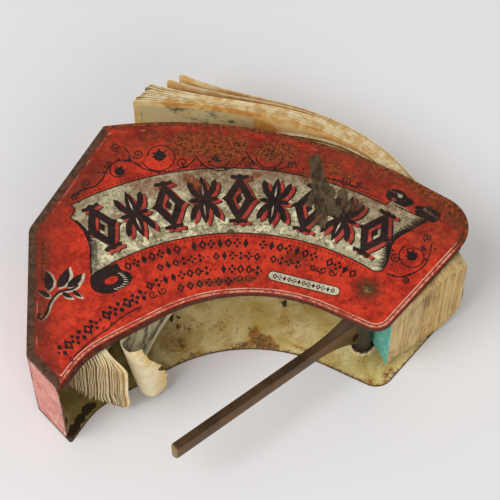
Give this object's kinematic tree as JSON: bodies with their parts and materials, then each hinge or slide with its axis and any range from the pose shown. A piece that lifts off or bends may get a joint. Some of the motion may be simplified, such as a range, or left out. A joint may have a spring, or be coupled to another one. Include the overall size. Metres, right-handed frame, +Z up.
{
  "type": "hand-held flip-book viewer",
  "caption": "Fan-shaped tinplate case with a lever on a rivet that draws a bound block of printed leaves past the end wall, flicking them one by one.",
  "frame": {"origin": "middle of the whole viewer's outline in plan, on the plane that the back plate rests on", "axes": "+Z up from the back plate to the printed front plate, +X from the end wall towards the lever's rivet along the longest extent, +Y towards the outer arc"},
  "size_m": [0.1608, 0.1518, 0.0427],
  "materials": {
    "printed_tin": "red lithographed tinplate, rusted at the edges",
    "lacquered_tin": "tinplate with yellowed clear lacquer and rust spots",
    "faded_tin": "faded pink print on tinplate",
    "rivet_metal": "tarnished",
    "lever_metal": "dark patina, worn bright at the tip",
    "wire_metal": "dull wire",
    "cover_paper": "turquoise paper",
    "leaf_paper": "foxed paper printed in grey"
  },
  "bodies": {
    "case": {"front_plate": "printed_tin", "back_plate": "lacquered_tin", "end_wall": "faded_tin", "pivot_rivet": "rivet_metal"},
    "lever_assembly": {"lever": "lever_metal", "cover_paper": "cover_paper", "binding_wire": "wire_metal", "torn_leaf": "leaf_paper", "leaf_02": "leaf_paper", "leaf_03": "leaf_paper", "leaf_04": "leaf_paper", "leaf_05": "leaf_paper", "leaf_06": "leaf_paper", "leaf_07": "leaf_paper", "leaf_08": "leaf_paper", "leaf_09": "leaf_paper", "leaf_10": "leaf_paper", "leaf_11": "leaf_paper", "leaf_12": "leaf_paper", "leaf_13": "leaf_paper", "leaf_14": "leaf_paper", "leaf_15": "leaf_paper", "leaf_16": "leaf_paper", "leaf_17": "leaf_paper", "leaf_18": "leaf_paper", "leaf_19": "leaf_paper", "leaf_20": "leaf_paper", "leaf_21": "leaf_paper", "leaf_22": "leaf_paper", "leaf_23": "leaf_paper", "leaf_24": "leaf_paper", "leaf_25": "leaf_paper", "leaf_26": "leaf_paper", "leaf_27": "leaf_paper", "leaf_28": "leaf_paper", "leaf_29": "leaf_paper", "leaf_30": "leaf_paper", "leaf_31": "leaf_paper", "leaf_32": "leaf_paper", "leaf_33": "leaf_paper", "leaf_34": "leaf_paper", "leaf_35": "leaf_paper"}
  },
  "joints": [
    {"name": "lever_pivot", "type": "hinge", "parent": "case", "child": "lever_assembly", "pos_m": [0.04111, -0.0209, 0.021], "axis": [0, 0, 1], "range_deg": [-28, 0]}
  ]
}
